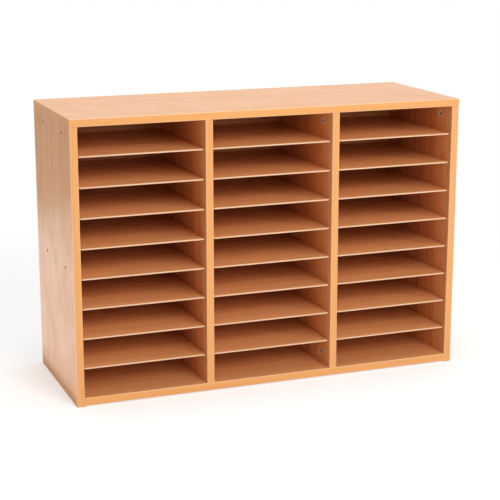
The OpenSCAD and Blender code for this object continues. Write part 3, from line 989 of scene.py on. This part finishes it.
class SORTER_OT_shelves(bpy.types.Operator):
    """Make each loose shelf with round front corners and eased edges"""

    bl_idname = "sorter.shelves"
    bl_label = "Shelves"

    def execute(self, context):
        sizes = context.scene.sorter_fittings
        tree = shelf_tree()
        material = shelf_board(context.scene.sorter_finish)
        for shelf in SHELVES:
            low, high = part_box(shelf)
            values = {
                "Width": high.x - low.x,
                "Depth": high.y - low.y,
                "Thickness": high.z - low.z,
                "Corner": sizes.shelf_corner,
                "Place": ((low.x + high.x) / 2, (low.y + high.y) / 2, low.z),
                "Material": material,
            }
            piece = grow(shelf + "_board", tree, values, ease=sizes.shelf_ease)
            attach(piece, shelf)
            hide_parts(shelf)
        return {"FINISHED"}


class SORTER_OT_back(bpy.types.Operator):
    """Finish the thin back board and its nails"""

    bl_idname = "sorter.back"
    bl_label = "Back Board"

    def execute(self, context):
        finish = context.scene.sorter_finish
        sizes = context.scene.sorter_fittings
        paint("back_board", back_sheet(finish))
        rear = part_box("back_board")[1].y
        nails = lumps("back_nails")
        low, high = nails[0]
        values = {
            "Head Radius": (high.x - low.x) / 2,
            "Head Height": high.y - rear,
            "Crown": sizes.nail_crown,
            "Shank Radius": sizes.nail_shank / 2,
            "Shank Length": rear - low.y,
            "Material": plated_steel("nail_steel", finish),
        }
        points = [(((a.x + b.x) / 2, rear, (a.z + b.z) / 2), (0.0, 0.0, 0.0)) for a, b in nails]
        piece = grow("back_board_nails", nail_tree(), values, points)
        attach(piece, CASE_BODY)
        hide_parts("back_nails")
        return {"FINISHED"}


class SORTER_OT_shelf_pins(bpy.types.Operator):
    """Make the pegs that the shelves lie on, with flat tops and eased tips"""

    bl_idname = "sorter.shelf_pins"
    bl_label = "Shelf Pins"

    def execute(self, context):
        sizes = context.scene.sorter_fittings
        tree = pin_tree()
        material = plated_steel("pin_steel", context.scene.sorter_finish)
        for group in PIN_GROUPS:
            pins = lumps(group)
            low, high = pins[0]
            radius = (high.y - low.y) / 2
            values = {
                "Radius": radius,
                "Length": high.x - low.x,
                "Flat": high.z - low.z - radius,
                "Sides": sizes.pin_sides,
                "Material": material,
            }
            middle = sum((a.x + b.x) / 2 for a, b in pins) / len(pins)
            points = [pin_seat(a, b, radius, middle) for a, b in pins]
            piece = grow(group + "_pegs", tree, values, points, ease=sizes.pin_ease)
            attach(piece, CASE_BODY)
            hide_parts(group)
        return {"FINISHED"}


def pin_seat(low, high, radius, middle):
    """Where a pin's hidden end lies, and its turn, so that its tip points to the middle of the column."""
    y = (low.y + high.y) / 2
    z = low.z + radius
    if low.x < middle:
        return (low.x, y, z), (0.0, 0.0, 0.0)
    return (high.x, y, z), (0.0, 0.0, math.pi)


class SORTER_OT_fittings(bpy.types.Operator):
    """Finish the cam locks, cam bolts and dowels"""

    bl_idname = "sorter.fittings"
    bl_label = "Fittings"

    def execute(self, context):
        finish = context.scene.sorter_finish
        paint("cam_locks", cast_zinc(finish))
        paint("cam_bolts", plated_steel("bolt_steel", finish))
        paint("dowels", dowel_wood(finish))
        return {"FINISHED"}


class SORTER_OT_stage(bpy.types.Operator):
    """Lay the pale floor and set the light and the camera"""

    bl_idname = "sorter.stage"
    bl_label = "Stage"

    def execute(self, context):
        stage = context.scene.sorter_stage
        context.scene.view_settings.view_transform = "Standard"
        lay_floor(stage)
        light_surround(context.scene, stage)
        hang_lamps(stage)
        set_camera(context.scene, stage)
        return {"FINISHED"}


def seen_white(tree):
    """One where a ray comes from the camera or off gloss or through glass, and nought elsewhere."""
    path = tree.nodes.new("ShaderNodeLightPath").outputs
    seen = maths(tree, "MAXIMUM", path["Is Camera Ray"], path["Is Glossy Ray"])
    return maths(tree, "MAXIMUM", seen, path["Is Transmission Ray"])


def lay_floor(stage):
    """A pale floor that keeps the shadow near the object and is white to the camera further off."""
    reach = stage.floor_reach
    mesh = bpy.data.meshes.new("floor")
    below = CAD_BOX[0].z - stage.floor_clearance
    signs = ((-1, -1), (1, -1), (1, 1), (-1, 1))
    corners = [(reach * across, reach * along_floor, below) for across, along_floor in signs]
    mesh.from_pydata(corners, [], [(0, 1, 2, 3)])
    floor = bpy.data.objects.new("floor", mesh)
    bpy.context.scene.collection.objects.link(floor)
    material = bpy.data.materials.new("pale_floor")
    material.use_nodes = True
    tree = material.node_tree
    tree.nodes.clear()
    place = tree.nodes.new("ShaderNodeTexCoord")
    distance = add_node(tree, "ShaderNodeVectorMath", {0: place.outputs["Object"]}, operation="LENGTH")
    far = ramp(tree, distance.outputs["Value"], stage.shadow_near, stage.shadow_far)
    seen = seen_white(tree)
    matt = add_node(tree, "ShaderNodeBsdfDiffuse", {"Color": (*stage.floor_colour, 1.0)})
    glow_level = maths(tree, "MULTIPLY", seen, stage.floor_glow)
    glow = add_node(tree, "ShaderNodeEmission", {"Strength": glow_level})
    near = add_node(tree, "ShaderNodeAddShader", {0: matt.outputs[0], 1: glow.outputs[0]})
    white = tree.nodes.new("ShaderNodeEmission")
    share = maths(tree, "MULTIPLY", far, seen)
    both = add_node(tree, "ShaderNodeMixShader", {0: share, 1: near.outputs[0], 2: white.outputs[0]})
    out = tree.nodes.new("ShaderNodeOutputMaterial")
    tree.links.new(both.outputs[0], out.inputs["Surface"])
    mesh.materials.append(material)


def light_surround(scene, stage):
    """A white surround: full white to the eye and in gloss, and dimmer as light on the object."""
    world = bpy.data.worlds.new("white_surround")
    world.use_nodes = True
    tree = world.node_tree
    surround = tree.nodes["Background"]
    surround.inputs["Color"].default_value = (1.0, 1.0, 1.0, 1.0)
    level = ramp(tree, seen_white(tree), 0.0, 1.0, stage.sky_level, 1.0)
    tree.links.new(level, surround.inputs["Strength"])
    scene.world = world


def hang_lamp(name, place, turn, width, length, power, shape="ELLIPSE"):
    """A soft flat lamp at a place, turned from facing straight down."""
    lamp = bpy.data.lights.new(name, "AREA")
    lamp.shape = shape
    lamp.size = width
    lamp.size_y = length
    lamp.energy = power
    holder = bpy.data.objects.new(name, lamp)
    bpy.context.scene.collection.objects.link(holder)
    holder.location = place
    holder.rotation_euler = turn
    holder.visible_camera = False
    return holder


def turned_to(place, aim):
    """The turn that makes a lamp at a place face a point."""
    return (aim - Vector(place)).to_track_quat("-Z", "Y").to_euler()


def hang_lamps(stage):
    """A large lamp in front, one overhead, a weak one on the left and a low one that only gloss shows."""
    middle = (CAD_BOX[0] + CAD_BOX[1]) / 2
    key_turn = turned_to(stage.key_place, middle)
    key = hang_lamp("key_light", stage.key_place, key_turn, stage.key_size, stage.key_size, stage.key_power)
    key.visible_glossy = False
    top_turn = turned_to(stage.top_place, middle)
    hang_lamp("top_light", stage.top_place, top_turn, stage.top_size, stage.top_size, stage.top_power)
    side_turn = turned_to(stage.side_place, middle)
    side = hang_lamp(
        "side_light", stage.side_place, side_turn, stage.side_size, stage.side_size, stage.side_power)
    side.visible_glossy = False
    upwards = (math.pi, 0.0, 0.0)
    fill = hang_lamp(
        "fill_light", stage.fill_place, upwards,
        stage.fill_width, stage.fill_length, stage.fill_power, "RECTANGLE")
    fill.visible_diffuse = False


def set_camera(scene, stage):
    """The camera of the photograph's view."""
    camera = bpy.data.cameras.new("camera")
    camera.sensor_width = SENSOR_WIDTH
    camera.lens = stage.camera_lens
    holder = bpy.data.objects.new("camera", camera)
    scene.collection.objects.link(holder)
    holder.location = stage.camera_place
    holder.rotation_euler = (math.pi / 2 - stage.camera_dip, 0.0, -stage.camera_turn)
    scene.camera = holder


class SORTER_PT_panel(bpy.types.Panel):
    """Lists the steps that dress the sorter"""

    bl_idname = "SORTER_PT_panel"
    bl_label = "Letter Sorter"
    bl_space_type = "VIEW_3D"
    bl_region_type = "UI"
    bl_category = "Sorter"

    def draw(self, context):
        for step in STEPS:
            self.layout.operator(step.bl_idname)


SETTINGS = {
    "sorter_finish": SorterFinish,
    "sorter_fittings": SorterFittings,
    "sorter_stage": SorterStage,
}
STEPS = (
    SORTER_OT_case_boards,
    SORTER_OT_edge_strips,
    SORTER_OT_shelves,
    SORTER_OT_shelf_pins,
    SORTER_OT_back,
    SORTER_OT_fittings,
    SORTER_OT_stage,
)


def register():
    for name, group in SETTINGS.items():
        bpy.utils.register_class(group)
        setattr(bpy.types.Scene, name, PointerProperty(type=group))
    for step in STEPS:
        bpy.utils.register_class(step)
    bpy.utils.register_class(SORTER_PT_panel)


def unregister():
    bpy.utils.unregister_class(SORTER_PT_panel)
    for step in reversed(STEPS):
        bpy.utils.unregister_class(step)
    for name, group in SETTINGS.items():
        delattr(bpy.types.Scene, name)
        bpy.utils.unregister_class(group)


def main():
    register()
    bpy.ops.sorter.case_boards()
    bpy.ops.sorter.edge_strips()
    bpy.ops.sorter.shelves()
    bpy.ops.sorter.shelf_pins()
    bpy.ops.sorter.back()
    bpy.ops.sorter.fittings()
    bpy.ops.sorter.stage()


if __name__ == "__main__":
    main()
